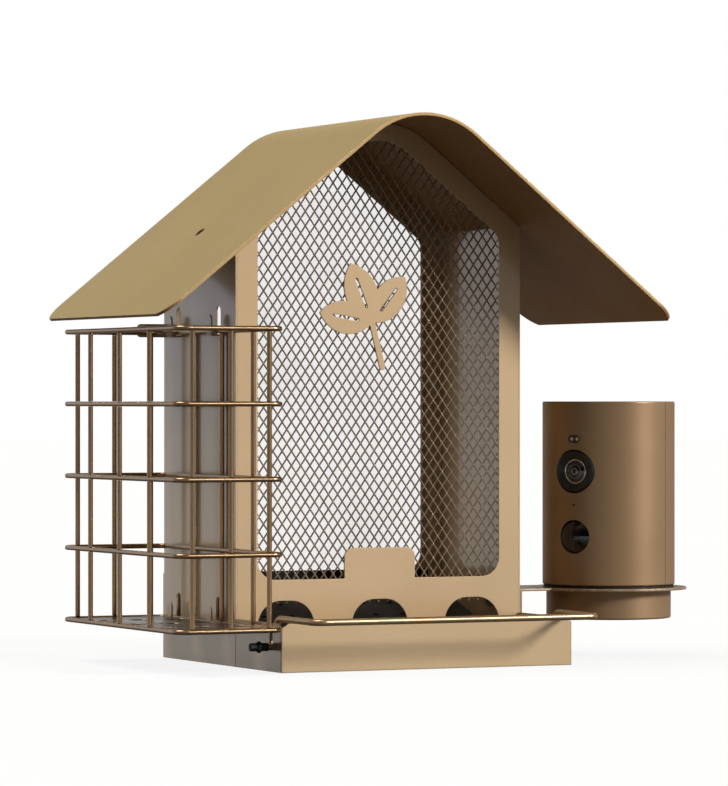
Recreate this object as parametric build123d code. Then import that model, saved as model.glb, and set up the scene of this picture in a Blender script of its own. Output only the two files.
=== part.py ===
from build123d import *

import math
import os

# Smart bird feeder: a folded steel house with a bent roof, a mesh window, a pull-out seed tray with a
# wire perch, a wire suet cage on the left wall and a round camera that stands in a shelf on the right.
# Millimetres. Origin: middle of the house's flat underside. X to the right seen from the front, the
# front faces -Y, Z up.

# Driving dimensions: house
house_width = 153.0
house_depth = 88.0
shoulder_height = 213.5
wall_sheet = 0.8
panel_sheet = 1.0
rim_width = 10.8
window_sill = 41.2

# Driving dimensions: roof
roof_slope = 38.7
roof_sheet = 1.5
roof_width = 272.0
front_overhang = 51.6
rear_overhang = 11.4
ridge_radius = 43.5
roof_corner_radius = 13.0

# Driving dimensions: tray and perch
tray_depth = 53.2
tray_height = 23.0
perch_reach = 44.4
perch_wire_diameter = 3.2

# Driving dimensions: suet cage
cage_width = 55.4
cage_depth = 145.7
cage_wire_diameter = 2.4
cage_ring_pitch = 35.1
cage_ring_count = 5
cage_base_height = 20.4
cage_middle_y = -31.9

# Driving dimensions: camera and its shelf
camera_radius = 33.0
camera_reach = 55.0
camera_middle_y = -34.0
camera_top = 126.9
camera_turn = -59.9
shelf_height = 34.5
shelf_sheet = 1.2
base_cup_drop = 14.3

# Clearances
face_gap = 0.1
seat_gap = 0.3
running_gap = 0.05
loose_gap = 0.5
cut_overrun = 2.0
parts_folder = "parts"

# Places that follow from the driving dimensions
house_half = house_width / 2
house_front = -house_depth / 2
house_back = house_depth / 2
panel_half = house_half - wall_sheet
inner_front = house_front + panel_sheet
inner_back = house_back - panel_sheet
slope_sin = math.sin(math.radians(roof_slope))
slope_cos = math.cos(math.radians(roof_slope))
slope_tan = slope_sin / slope_cos
roof_under_apex = shoulder_height + panel_half * slope_tan + seat_gap / slope_cos
under_radius = ridge_radius - roof_sheet


def roof_underside(x, drop):
    """Height of the roof's flat underside at x, lowered square to the slope by drop."""
    return roof_under_apex - abs(x) * slope_tan - drop / slope_cos


def upright(sketch, y_front, thickness):
    """A plate that stands in the XZ plane, from y_front back by thickness."""
    return Pos(0, y_front + thickness, 0) * extrude(Plane.XZ * sketch, amount=thickness)


def block(x_low, x_high, y_low, y_high, z_low, z_high):
    """A box between two corners."""
    size = (x_high - x_low, y_high - y_low, z_high - z_low)
    middle = ((x_low + x_high) / 2, (y_low + y_high) / 2, (z_low + z_high) / 2)
    return Pos(*middle) * Box(*size)


def rod_z(x, y, z_low, z_high, radius):
    """A round bar along Z."""
    return Pos(x, y, (z_low + z_high) / 2) * Cylinder(radius, z_high - z_low)


def rod_y(x, z, y_low, y_high, radius):
    """A round bar along Y."""
    return Pos(x, (y_low + y_high) / 2, z) * Rot(90, 0, 0) * Cylinder(radius, y_high - y_low)


def rod_x(y, z, x_low, x_high, radius):
    """A round bar along X."""
    return Pos((x_low + x_high) / 2, y, z) * Rot(0, 90, 0) * Cylinder(radius, x_high - x_low)


def wire_along(path, diameter):
    """Round wire swept along a path of runs and arcs."""
    start = Plane(origin=path @ 0, z_dir=path % 0)
    return sweep(start * Circle(diameter / 2), path=path)


def gable_face(half, bottom, drop, arc_radius):
    """House-shaped outline: a bottom edge, two sides and a gable with a rounded ridge."""
    side_top = roof_underside(half, drop)
    arc_x = arc_radius * slope_sin
    arc_foot = roof_underside(arc_x, drop)
    arc_top = arc_foot - arc_radius * slope_cos + arc_radius
    outline = [
        Line((-half, bottom), (half, bottom)),
        Line((half, bottom), (half, side_top)),
        Line((half, side_top), (arc_x, arc_foot)),
        ThreePointArc((arc_x, arc_foot), (0, arc_top), (-arc_x, arc_foot)),
        Line((-arc_x, arc_foot), (-half, side_top)),
        Line((-half, side_top), (-half, bottom)),
    ]
    return make_face(Wire(outline))


def save(shape, name):
    """Writes one piece, or one group of like pieces, to its own file."""
    export_step(shape, f"{parts_folder}/{name}.step")


os.makedirs(parts_folder, exist_ok=True)

# Window outline shared by the front panel, the back panel, the mesh and the clear sheet
window_half = panel_half - rim_width
window_ridge_radius = 24.0
window_corner_radius = 9.5
window_shoulder_radius = 8.0


def window_face(grow):
    """The window's outline, larger all round by grow."""
    drop = rim_width + seat_gap - grow
    face = gable_face(window_half + grow, window_sill - grow, drop, window_ridge_radius + grow)
    corners = face.vertices().sort_by(Axis.Y)
    face = fillet(corners[0:2], window_corner_radius + grow)
    shoulders = face.vertices().filter_by(lambda v: abs(abs(v.X) - window_half - grow) < running_gap)
    shoulders = shoulders.sort_by(Axis.Y)[-2:]
    return fillet(shoulders, window_shoulder_radius + grow)


# Front panel: a plate with the window, a bare tab that stands up into it and three seed mouths
panel_bottom = 4.0
tab_half = 18.9
tab_height = 14.8
tab_corner_radius = 4.5
mouth_half = 14.9
mouth_pitch = window_half - mouth_half
mouth_sill = 12.0
mouth_top = 31.1
mouth_corner_radius = 12.0
mouth_count = 3
mouth_shares = [index - (mouth_count - 1) / 2 for index in range(mouth_count)]


def tab_face():
    """The bare tab, with its foot below the sill."""
    foot = rim_width / 2
    plate = Pos(0, window_sill - foot) * Rectangle(
        2 * tab_half, tab_height + foot, align=(Align.CENTER, Align.MIN)
    )
    return fillet(plate.vertices().sort_by(Axis.Y)[-2:], tab_corner_radius)


def mouth_face(middle):
    """One seed mouth, flat at the sill and rounded at the top."""
    plate = Pos(middle, mouth_sill) * Rectangle(
        2 * mouth_half, mouth_top - mouth_sill, align=(Align.CENTER, Align.MIN)
    )
    return fillet(plate.vertices().sort_by(Axis.Y)[-2:], mouth_corner_radius)


front_face = gable_face(panel_half, panel_bottom, seat_gap, under_radius - seat_gap)
front_face = front_face - (window_face(0) - tab_face())
for share in mouth_shares:
    front_face = front_face - mouth_face(share * mouth_pitch)
front_panel = upright(front_face, house_front, panel_sheet)
save(front_panel, "front_panel")

# Mesh behind the window: flat diamond mesh with a closed border that the rim hides
mesh_sheet = 0.6
mesh_strand = 1.1
mesh_pitch_x = 11.0
mesh_pitch_z = 15.8
mesh_side_lap = 3.0
mesh_end_lap = 9.0
mesh_bottom = 29.5
mesh_half = window_half + mesh_side_lap


def mesh_outline():
    """The mesh's own edge."""
    drop = rim_width + seat_gap - mesh_end_lap
    return gable_face(mesh_half, mesh_bottom, drop, window_ridge_radius + mesh_end_lap)


def mesh_diamond(x, z):
    """One opening of the mesh, smaller than its cell by the strand."""
    half_diagonal = math.hypot(mesh_pitch_x, mesh_pitch_z) / 2
    inset_x = mesh_strand * half_diagonal / mesh_pitch_z
    inset_z = mesh_strand * half_diagonal / mesh_pitch_x
    reach_x = mesh_pitch_x / 2 - inset_x
    reach_z = mesh_pitch_z / 2 - inset_z
    corners = [(x - reach_x, z), (x, z - reach_z), (x + reach_x, z), (x, z + reach_z)]
    return Wire.make_polygon([Vector(*corner) for corner in corners], close=True)


def mesh_cells():
    """Middles of the openings that lie whole inside the mesh's edge."""
    arc_top = roof_underside(0, 0) + (window_ridge_radius + mesh_end_lap) * (1 - 1 / slope_cos)
    half_columns = int(mesh_half / mesh_pitch_x) + 1
    rows = int((arc_top - mesh_bottom) / mesh_pitch_z) + 1
    cells = []
    for row in range(2 * rows):
        shift = (row % 2) * mesh_pitch_x / 2
        z = mesh_bottom + (row + 1) * mesh_pitch_z / 2
        for column in range(-half_columns, half_columns + 1):
            x = column * mesh_pitch_x + shift
            side = abs(x) + mesh_pitch_x / 2
            slope_limit = roof_underside(side, rim_width + seat_gap - mesh_end_lap) - mesh_pitch_z / 2
            ridge_limit = arc_top - rim_width - seat_gap
            if side < mesh_half and z < slope_limit and z < ridge_limit and z > mesh_bottom:
                cells.append((x, z))
    return cells


mesh_edge = mesh_outline().face().outer_wire()
mesh_holes = [mesh_diamond(x, z) for x, z in mesh_cells() if z - mesh_pitch_z / 2 >= mesh_bottom]
mesh_face = Face(mesh_edge, mesh_holes)
window_mesh = upright(mesh_face, inner_front, mesh_sheet)
save(window_mesh, "window_mesh")

# Ornament on the mesh: a plain sprig of three leaves on a stem
sprig_middle_x = -4.0
sprig_middle_z = 165.0
leaf_length = 31.0
leaf_half_width = 8.6
leaf_vein_width = 1.4
stem_width = 3.0
stem_length = 25.0
leaf_angles = [-52.0, 8.0, 66.0]
leaf_scale_shares = [0.92, 1.0, 0.92]
sprig_tilt = 14.0


def leaf_face(share, angle):
    """One leaf with a slit for its vein, pointing up before it is turned."""
    length = leaf_length * share
    half = leaf_half_width * share
    right = ThreePointArc((0, 0), (half, length / 2), (0, length))
    left = ThreePointArc((0, length), (-half, length / 2), (0, 0))
    leaf = make_face(Wire([right, left]))
    vein = Pos(0, length / 2) * Rot(0, 0, 90) * SlotOverall(length / 2, leaf_vein_width)
    return Rot(0, 0, angle) * (leaf - vein)


def sprig_face():
    """The leaves fused to their stem."""
    stem = Rot(0, 0, 90) * SlotOverall(stem_length + stem_width, stem_width)
    face = Pos(0, stem_width - stem_length / 2) * stem
    for angle, share in zip(leaf_angles, leaf_scale_shares):
        face = face + leaf_face(share, angle)
    return Pos(sprig_middle_x, sprig_middle_z) * Rot(0, 0, sprig_tilt) * face


ornament_plate = upright(sprig_face(), house_front, panel_sheet)
save(ornament_plate, "ornament_plate")

# Back panel: like the front, wider by the walls, without mouths, with two strap ears
ear_length = 14.6
ear_height = 6.6
ear_middle = 161.9
ear_corner_radius = 1.8
strap_slot_length = 9.6
strap_slot_width = 2.6
rivet_radius = 1.2
rivet_head_radius = 2.4
rivet_tail_radius = 1.9
rivet_head_height = 0.9
rivet_edge_share = 0.7
rivet_inset = 4.6
rivet_x = house_half - rivet_inset
skirt_sheet = 1.2
skirt_height = 41.7
skirt_rivet_share = 0.48
skirt_rivet_height = skirt_rivet_share * skirt_height
rivet_above_skirt = 5.0
lowest_rivet_height = skirt_height + rivet_above_skirt
rivet_height_shares = [0, 0.26, 0.52, 0.78]
rivet_field = shoulder_height - lowest_rivet_height
rivet_heights = [lowest_rivet_height + share * rivet_field for share in rivet_height_shares]


def ear_face(side):
    """One strap ear with its slot, reaching past the wall."""
    root = house_half - rim_width / 2
    tip = house_half + ear_length
    plate = Pos(side * (root + tip) / 2, ear_middle) * RectangleRounded(
        tip - root, ear_height, ear_corner_radius
    )
    slot_x = house_half + ear_length / 2
    slot = Pos(side * slot_x, ear_middle) * SlotOverall(strap_slot_length, strap_slot_width)
    return plate, slot


back_face = gable_face(house_half, 0, seat_gap, under_radius - seat_gap) - window_face(0)
for side in (-1, 1):
    ear, slot = ear_face(side)
    back_face = back_face + ear - slot
    for height in [skirt_rivet_height, *rivet_heights]:
        back_face = back_face - Pos(side * rivet_x, height) * Circle(rivet_radius)
back_panel = upright(back_face, inner_back, panel_sheet)
save(back_panel, "back_panel")

# Back skirt: a second plate behind the back panel, below its window
skirt_face = Pos(0, skirt_height / 2) * Rectangle(house_width, skirt_height)
for side in (-1, 1):
    skirt_face = skirt_face - Pos(side * rivet_x, skirt_rivet_height) * Circle(rivet_radius)
save(upright(skirt_face, house_back, skirt_sheet), "back_skirt")

# Clear sheet behind the back window
clear_sheet = 1.0
clear_lap = 3.0
rear_window = upright(window_face(clear_lap), inner_back - clear_sheet, clear_sheet)
save(rear_window, "rear_window")

# Side walls: a web with a flange behind each panel; the left one carries the cage's hooks
flange_width = 7.4
flange_bottom = 32.0
wall_top = roof_underside(house_half, seat_gap)
hook_spacing = 49.0
hook_middle_y = 1.0
hook_width = 5.0
hook_stand_off = 4.2
hook_tip_rise = 8.0
slot_rise = 12.2
slot_side_gap = 0.2
cage_wall_gap = 0.6
cage_ring_heights = [cage_base_height + index * cage_ring_pitch for index in range(cage_ring_count)]
hook_ring_heights = [cage_ring_heights[0], cage_ring_heights[-1]]
shelf_screw_radius = 1.45
shelf_screw_hole = 1.6
shelf_arm_width = 40.0
shelf_flange_drop = 11.7
shelf_screw_pitch = 22.0
shelf_screw_z = shelf_height - shelf_flange_drop / 2 - shelf_sheet / 2
shelf_arm_middle_y = house_front + shelf_arm_width / 2
shelf_screw_ys = [shelf_arm_middle_y + side * shelf_screw_pitch / 2 for side in (-1, 1)]


def wall_body(side):
    """Web and two flanges of one side wall."""
    web = block(panel_half, house_half, house_front, inner_back, 0, wall_top)
    x_low = panel_half - flange_width
    front = block(x_low, house_half, inner_front, inner_front + wall_sheet, flange_bottom, shoulder_height)
    rear = block(x_low, house_half, inner_back - wall_sheet, inner_back, flange_bottom, shoulder_height)
    cap = upright(gable_face(house_half, 0, seat_gap, under_radius), house_front, house_depth)
    wall = (web + front + rear) & cap
    for height in rivet_heights:
        wall = wall - rod_y(rivet_x, height, inner_back - cut_overrun, inner_back + cut_overrun, rivet_radius)
    return wall if side > 0 else mirror(wall, about=Plane.YZ)


def hook_parts(y, ring_height):
    """One hook bent out of the wall, and the slot that it leaves."""
    rest = ring_height - cage_wire_diameter / 2 - seat_gap
    root = rest - wall_sheet
    tip = ring_height + hook_tip_rise
    outer = house_half + hook_stand_off + wall_sheet
    half = hook_width / 2
    tab = Pos(0, (root + tip) / 2) * Rot(0, 0, 90) * SlotOverall(tip - root, hook_width)
    tab = Rot(0, 0, 90) * upright(tab, -wall_sheet / 2, wall_sheet)
    tab = Pos(wall_sheet / 2 - outer, y, 0) * tab
    corner = block(-outer, wall_sheet - outer, y - half, y + half, root, rest + half)
    foot = block(-outer, -panel_half, y - half, y + half, root, rest)
    slot_half = half + slot_side_gap
    slot_arc = ring_height + slot_rise - slot_half
    slot_out = -house_half - cut_overrun
    slot_in = cut_overrun - panel_half
    slot = block(slot_out, slot_in, y - slot_half, y + slot_half, rest, slot_arc)
    slot = slot + rod_x(y, slot_arc, slot_out, slot_in, slot_half)
    return tab + corner + foot, slot


left_wall = wall_body(-1)
for ring_height in hook_ring_heights:
    for side in (-1, 1):
        hook, slot = hook_parts(hook_middle_y + side * hook_spacing / 2, ring_height)
        left_wall = left_wall - slot + hook
save(left_wall, "left_wall")

right_wall = wall_body(1)
for y in shelf_screw_ys:
    right_wall = right_wall - rod_x(
        y, shelf_screw_z, panel_half - cut_overrun, house_half + cut_overrun, shelf_screw_hole
    )
save(right_wall, "right_wall")


# Rivets that hold the back panel to the walls' flanges, and the skirt to the back panel
def rivet(side, height, inner_face, outer_face):
    """A dome head on the outer face, a shank and a flat tail on the inner face."""
    shank_radius = rivet_radius - running_gap
    tail_end = inner_face - rivet_head_height
    shank = rod_y(side * rivet_x, height, tail_end, outer_face + rivet_head_height / 2, shank_radius)
    tail = rod_y(side * rivet_x, height, tail_end, inner_face, rivet_tail_radius)
    head = rod_y(side * rivet_x, height, outer_face, outer_face + rivet_head_height, rivet_head_radius)
    rim = head.edges().filter_by(GeomType.CIRCLE).sort_by(Axis.Y)[-1]
    return fillet(rim, rivet_edge_share * rivet_head_height) + shank + tail


rivets = []
for side in (-1, 1):
    rivets.append(rivet(side, skirt_rivet_height, inner_back, house_back + skirt_sheet))
    for height in rivet_heights:
        rivets.append(rivet(side, height, inner_back - wall_sheet, house_back))
save(Compound(rivets), "house_rivets")

# Base pan: closes the house below, with two side flanges
pan_flange = 6.0
pan_front = inner_front + wall_sheet + seat_gap
pan_back = inner_back - face_gap
base_pan = block(-panel_half, panel_half, pan_front, pan_back, 0, wall_sheet)
for side in (-1, 1):
    edges = sorted((side * panel_half, side * (panel_half - wall_sheet)))
    base_pan = base_pan + block(edges[0], edges[1], pan_front, pan_back, 0, pan_flange)
save(base_pan, "base_pan")

# Seed ramp: slopes from the back down to the sill of the mouths, with drain holes
ramp_back_height = 37.0
ramp_front_height = 9.0
ramp_half = panel_half - flange_width - loose_gap
ramp_front = inner_front + face_gap
ramp_back = inner_back - clear_sheet - seat_gap
ramp_lip = 5.0
drain_radius = 1.5
drain_columns = 7
drain_rows = 4
drain_pitch = 15.0


def seed_ramp_solid():
    """The sloped plate with its back lip and drain holes."""
    profile = Polyline(
        (ramp_front, ramp_front_height),
        (ramp_back, ramp_back_height),
        (ramp_back, ramp_back_height + ramp_lip),
        (ramp_back - wall_sheet, ramp_back_height + ramp_lip),
        (ramp_back - wall_sheet, ramp_back_height + wall_sheet),
        (ramp_front, ramp_front_height + wall_sheet),
        close=True,
    )
    plate = Pos(-ramp_half, 0, 0) * extrude(Plane.YZ * make_face(profile), amount=2 * ramp_half)
    for column in range(drain_columns):
        x = (column - (drain_columns - 1) / 2) * drain_pitch
        for row in range(drain_rows):
            y = (row - (drain_rows - 1) / 2) * drain_pitch
            plate = plate - rod_z(x, y, 0, ramp_back_height + ramp_lip, drain_radius)
    return plate


save(seed_ramp_solid(), "seed_ramp")


# Roof: one bent sheet with a rounded ridge, rounded corners and two hanging holes
roof_front = house_front - front_overhang
roof_back = house_back + rear_overhang
roof_half = roof_width / 2
hang_hole_radius = 2.8
hang_hole_x = 83.9


def roof_section():
    """The roof's cross section: two slopes joined by an arc, as thick as the sheet."""
    arc_x = ridge_radius * slope_sin
    under_x = under_radius * slope_sin
    arc_drop = -roof_sheet
    foot = roof_underside(arc_x, arc_drop)
    under_foot = roof_underside(under_x, 0)
    top = foot - ridge_radius * slope_cos + ridge_radius
    under_top = top - roof_sheet
    eave = roof_underside(roof_half, arc_drop)
    inner_x = roof_half - roof_sheet * slope_sin
    under_eave = roof_underside(inner_x, 0)
    outline = [
        Line((roof_half, eave), (arc_x, foot)),
        ThreePointArc((arc_x, foot), (0, top), (-arc_x, foot)),
        Line((-arc_x, foot), (-roof_half, eave)),
        Line((-roof_half, eave), (-inner_x, under_eave)),
        Line((-inner_x, under_eave), (-under_x, under_foot)),
        ThreePointArc((-under_x, under_foot), (0, under_top), (under_x, under_foot)),
        Line((under_x, under_foot), (inner_x, under_eave)),
        Line((inner_x, under_eave), (roof_half, eave)),
    ]
    return make_face(Wire(outline))


def slope_place(side, x, y):
    """A plane on the roof's underside at x, with its normal square to the slope."""
    height = roof_underside(x, 0)
    normal = (side * slope_sin, 0, slope_cos)
    return Plane(origin=(side * x, y, height), x_dir=(0, 1, 0), z_dir=normal)


def corner_cut(side, y_edge, y_sign):
    """What is trimmed off one eave corner to round it."""
    radius = roof_corner_radius
    slope_run = radius * slope_cos
    centre = slope_place(side, roof_half - slope_run, y_edge - y_sign * radius)
    thick = roof_sheet + 2 * cut_overrun
    square = Rectangle(2 * radius + 2 * cut_overrun, 2 * radius + 2 * cut_overrun)
    ring = square - Circle(radius)
    tool = extrude(centre * ring, amount=thick / 2, both=True)
    reach = radius + 2 * cut_overrun
    x_edges = sorted((side * (roof_half - slope_run), side * (roof_half + reach)))
    y_edges = sorted((y_edge - y_sign * radius, y_edge + y_sign * reach))
    low = roof_underside(roof_half + reach, 0)
    high = roof_underside(roof_half - slope_run - radius, 0) + reach
    return tool & block(x_edges[0], x_edges[1], y_edges[0], y_edges[1], low, high)


roof_panel = upright(roof_section(), roof_front, roof_back - roof_front)
for side in (-1, 1):
    hole = slope_place(side, hang_hole_x, (roof_front + roof_back) / 2)
    drill = extrude(hole * Circle(hang_hole_radius), amount=roof_sheet + cut_overrun, both=True)
    roof_panel = roof_panel - drill
    for y_edge, y_sign in ((roof_front, -1), (roof_back, 1)):
        roof_panel = roof_panel - corner_cut(side, y_edge, y_sign)
save(roof_panel, "roof_panel")

# Roof guides: lips under the roof that drop inside the house's two panels
guide_depth = 8.0
guide_half = 58.0
guide_clearance = 1.0


def roof_guide(y_front):
    """A gable-shaped lip below the roof."""
    outer = gable_face(guide_half, 0, face_gap, under_radius - face_gap)
    inner_drop = face_gap + guide_depth
    inner = gable_face(guide_half + cut_overrun, -cut_overrun, inner_drop, under_radius - inner_drop)
    return upright(outer - inner, y_front, wall_sheet)


front_guide_y = inner_front + mesh_sheet + guide_clearance
rear_guide_y = inner_back - clear_sheet - guide_clearance - wall_sheet
save(roof_guide(front_guide_y), "roof_guide_front")
save(roof_guide(rear_guide_y), "roof_guide_rear")

# Seed tray: a folded box in front of the house, with a runner tongue that slides over the base pan
tray_gap = 0.6
tray_back = house_front - tray_gap
tray_front = tray_back - tray_depth
tongue_half = 70.0
tongue_back_gap = 5.0
tongue_height = wall_sheet + seat_gap
tray_corner_run = 3.4
tray_corner_drop = 2.2
seam_width = 0.5
seam_depth = 0.3
perch_pivot_inset = 41.6
perch_pivot_y = house_front - perch_pivot_inset
perch_pivot_z = 11.7
perch_slot_gap = 0.15


def tray_solid():
    """Floor, front, two sides, and the tongue behind a small step."""
    floor = block(-house_half, house_half, tray_front, tray_back, 0, wall_sheet)
    front_outline = Polyline(
        (-house_half, 0),
        (house_half, 0),
        (house_half, tray_height - tray_corner_drop),
        (house_half - tray_corner_run, tray_height),
        (-house_half + tray_corner_run, tray_height),
        (-house_half, tray_height - tray_corner_drop),
        close=True,
    )
    tray = floor + upright(make_face(front_outline), tray_front, wall_sheet)
    slot_half = perch_wire_diameter / 2 + perch_slot_gap
    side_front = tray_front + wall_sheet
    side_top = tray_height - tray_corner_drop
    side_outline = Polyline(
        (side_front, 0),
        (tray_back, 0),
        (tray_back, tray_height),
        (side_front + tray_corner_run, tray_height),
        (side_front, side_top),
        close=True,
    )
    side_plate = extrude(Plane.YZ * make_face(side_outline), amount=wall_sheet)
    for side in (-1, 1):
        edges = sorted((side * panel_half, side * house_half))
        tray = tray + Pos(edges[0], 0, 0) * side_plate
        slot_edges = (edges[0] - cut_overrun, edges[1] + cut_overrun)
        slot = block(
            slot_edges[0],
            slot_edges[1],
            perch_pivot_y - slot_half,
            perch_pivot_y + slot_half,
            perch_pivot_z,
            tray_height + cut_overrun,
        )
        slot = slot + rod_x(perch_pivot_y, perch_pivot_z, slot_edges[0], slot_edges[1], slot_half)
        seam_edges = sorted((side * (house_half + cut_overrun), side * (house_half - seam_depth)))
        seam = block(
            seam_edges[0],
            seam_edges[1],
            side_front,
            side_front + seam_width,
            wall_sheet,
            tray_height + cut_overrun,
        )
        tray = tray - slot - seam
    step = block(
        -tongue_half, tongue_half, tray_back - wall_sheet, tray_back, 0, tongue_height + wall_sheet
    )
    tongue = block(
        -tongue_half,
        tongue_half,
        tray_back - wall_sheet,
        inner_back - tongue_back_gap,
        tongue_height,
        tongue_height + wall_sheet,
    )
    return tray + step + tongue


save(tray_solid(), "seed_tray")

# Perch: bent wire that turns in the tray's two slots and rests on the tray's front wall
perch_side_gap = 0.4
perch_half = panel_half - perch_side_gap - perch_wire_diameter / 2
perch_level = tray_height + seat_gap + perch_wire_diameter / 2
perch_front_y = perch_pivot_y - perch_reach
perch_pivot_bend = 2.0
perch_arm_bend = 5.0
perch_corner_bend = 5.0
sleeve_stand_off = 2.0
long_sleeve_length = 8.7
short_sleeve_length = 3.0
sleeve_cap = 0.8
sleeve_start_x = house_half + sleeve_stand_off


def perch_path():
    """From the short end, up beside the tray's wall, forward, across the front and back again."""
    arm = [
        (perch_half, perch_pivot_y, perch_pivot_z),
        (perch_half, perch_pivot_y, perch_level),
        (perch_half, perch_front_y, perch_level),
    ]
    other_arm = [(-x, y, z) for x, y, z in reversed(arm)]
    short_end = (sleeve_start_x + short_sleeve_length - sleeve_cap, perch_pivot_y, perch_pivot_z)
    long_end = (sleeve_cap - sleeve_start_x - long_sleeve_length, perch_pivot_y, perch_pivot_z)
    bends = [perch_pivot_bend, perch_arm_bend, perch_corner_bend]
    return FilletPolyline(short_end, *arm, *other_arm, long_end, radius=bends + bends[::-1])


save(wire_along(perch_path(), perch_wire_diameter), "perch_wire")

# Black sleeves on the perch's ends: a long one with a stop nut on the left, a short one on the right
sleeve_radius = 1.95
sleeve_bore = perch_wire_diameter / 2 + running_gap
stop_nut_radius = 2.7
stop_nut_length = 1.8


def sleeve(side, length):
    """A sleeve closed at its outer end."""
    ends = sorted((side * sleeve_start_x, side * (sleeve_start_x + length)))
    bore_end = sleeve_start_x + length - sleeve_cap + running_gap
    bore_ends = sorted((side * (sleeve_start_x - cut_overrun), side * bore_end))
    body = rod_x(perch_pivot_y, perch_pivot_z, ends[0], ends[1], sleeve_radius)
    return body - rod_x(perch_pivot_y, perch_pivot_z, bore_ends[0], bore_ends[1], sleeve_bore)


save(Compound([sleeve(-1, long_sleeve_length), sleeve(1, short_sleeve_length)]), "perch_end_sleeves")
nut_middle_x = -sleeve_start_x - long_sleeve_length / 2
nut_plane = Plane(origin=(nut_middle_x, perch_pivot_y, perch_pivot_z), z_dir=(1, 0, 0))
nut_face = RegularPolygon(stop_nut_radius, 6) - Circle(sleeve_radius + running_gap)
save(extrude(nut_plane * nut_face, amount=stop_nut_length / 2, both=True), "perch_stop_nut")

# Suet cage: rings of wire, upright lengths between them and a perforated floor plate
wire_radius = cage_wire_diameter / 2
cage_inner_x = -house_half - cage_wall_gap
cage_outer_x = cage_inner_x - cage_width
cage_middle_x = (cage_inner_x + cage_outer_x) / 2
ring_length_x = cage_width - cage_wire_diameter
ring_length_y = cage_depth - cage_wire_diameter
ring_bend = 5.0
upright_pitch_x = 19.4
upright_pitch_y = 37.0
uprights_per_side = 3
upright_offset_shares = [index - (uprights_per_side - 1) / 2 for index in range(uprights_per_side)]


def cage_ring(height):
    """One closed ring of wire."""
    outline = RectangleRounded(ring_length_x, ring_length_y, ring_bend)
    path = (Pos(cage_middle_x, cage_middle_y, height) * outline).face().outer_wire()
    return wire_along(path, cage_wire_diameter)


for index, height in enumerate(cage_ring_heights):
    save(cage_ring(height), f"cage_ring_{index + 1}")


def cage_uprights(places):
    """Upright lengths at each place, one between each ring and the next."""
    reach = wire_radius + running_gap
    lengths = []
    for low, high in zip(cage_ring_heights[:-1], cage_ring_heights[1:]):
        lengths += [rod_z(x, y, low + reach, high - reach, wire_radius) for x, y in places]
    return Compound(lengths)


upright_xs = [cage_middle_x + share * upright_pitch_x for share in upright_offset_shares]
upright_ys = [cage_middle_y + share * upright_pitch_y for share in upright_offset_shares]
upright_places = {
    "front": [(x, cage_middle_y - ring_length_y / 2) for x in upright_xs],
    "back": [(x, cage_middle_y + ring_length_y / 2) for x in upright_xs],
    "outer": [(cage_middle_x - ring_length_x / 2, y) for y in upright_ys],
    "inner": [(cage_middle_x + ring_length_x / 2, y) for y in upright_ys],
}
for name, places in upright_places.items():
    save(cage_uprights(places), f"cage_uprights_{name}")

floor_sheet = 1.0
floor_hole_radius = 6.0
floor_hole_pitch_x = 18.4


def cage_floor_solid():
    """The floor plate, which fills the lowest ring, with rows of round holes and room for the hooks."""
    length_x = ring_length_x - cage_wire_diameter - running_gap
    length_y = ring_length_y - cage_wire_diameter - running_gap
    face = Pos(cage_middle_x, cage_middle_y) * RectangleRounded(length_x, length_y, ring_bend - wire_radius)
    for share in upright_offset_shares:
        for y in upright_ys:
            face = face - Pos(cage_middle_x + share * floor_hole_pitch_x, y) * Circle(floor_hole_radius)
    plate = extrude(Pos(0, 0, cage_ring_heights[0] - floor_sheet / 2) * face, floor_sheet)
    low = cage_ring_heights[0] - cut_overrun
    high = cage_ring_heights[0] + cut_overrun
    notch_half = hook_width / 2 + loose_gap
    notch_x = -house_half - hook_stand_off - wall_sheet - loose_gap
    for side in (-1, 1):
        y = hook_middle_y + side * hook_spacing / 2
        plate = plate - block(notch_x, cage_inner_x, y - notch_half, y + notch_half, low, high)
    return plate


save(cage_floor_solid(), "cage_floor")

# Camera shelf: an angle plate on the right wall, with a round hole for the camera's base cup
camera_x = house_half + camera_reach
cup_inset = 1.9
shelf_rim = 5.8
cup_radius = camera_radius - cup_inset
shelf_ring_radius = camera_radius + shelf_rim
shelf_hole_radius = cup_radius + loose_gap
shelf_underside = shelf_height - shelf_sheet
shelf_bottom = shelf_height - shelf_flange_drop
shelf_arm_back = house_front + shelf_arm_width


def camera_shelf_solid():
    """A flange on the wall, an arm and a round plate with its hole."""
    arm = block(house_half, camera_x, house_front, shelf_arm_back, shelf_underside, shelf_height)
    disc = rod_z(camera_x, camera_middle_y, shelf_underside, shelf_height, shelf_ring_radius)
    hole = rod_z(
        camera_x,
        camera_middle_y,
        shelf_underside - cut_overrun,
        shelf_height + cut_overrun,
        shelf_hole_radius,
    )
    flange_face = house_half + shelf_sheet
    flange = block(house_half, flange_face, house_front, shelf_arm_back, shelf_bottom, shelf_height)
    shelf = arm + disc - hole + flange
    for y in shelf_screw_ys:
        ends = (house_half - cut_overrun, house_half + shelf_sheet + cut_overrun)
        shelf = shelf - rod_x(y, shelf_screw_z, ends[0], ends[1], shelf_screw_hole)
    return shelf


save(camera_shelf_solid(), "camera_shelf")

screw_head_radius = 2.8
screw_head_height = 1.7
screw_end_length = 0.6
shelf_nut_radius = 3.1
shelf_nut_length = 2.0
cross_length = 3.0
cross_width = 0.7
cross_depth = 0.7


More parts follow.
